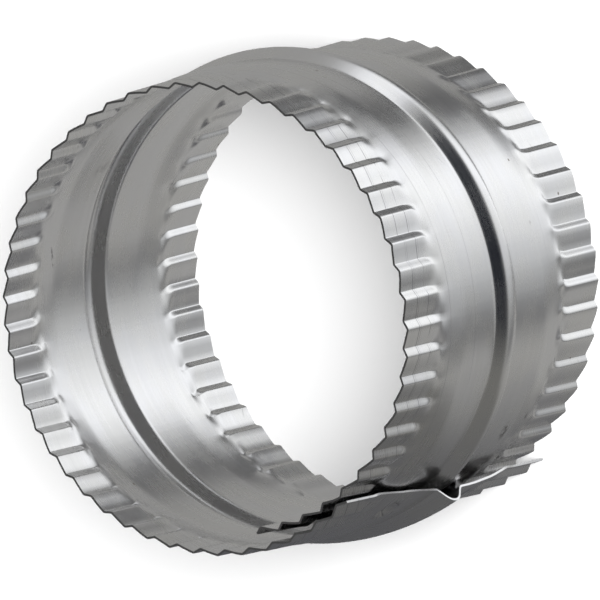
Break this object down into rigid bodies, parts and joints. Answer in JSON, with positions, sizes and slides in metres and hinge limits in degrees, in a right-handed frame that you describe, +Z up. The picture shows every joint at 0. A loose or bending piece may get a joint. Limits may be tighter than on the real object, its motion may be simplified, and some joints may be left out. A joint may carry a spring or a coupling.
{
  "type": "duct connector",
  "caption": "Short round sheet-metal sleeve with a raised middle bead and crimped ends, pushed inside two round air ducts to join them end to end.",
  "frame": {"origin": "middle of the bottom rim's plane, on the duct axis; the sleeve stands on that rim", "axes": "+Z up along the duct axis; the lapped seam lies towards -Y and +X"},
  "size_m": [0.1044, 0.1045, 0.0762],
  "materials": {
    "aluminium_sheet": "satin mill-finish aluminium sheet"
  },
  "bodies": {
    "root": {"duct_sleeve": "aluminium_sheet"}
  },
  "joints": []
}
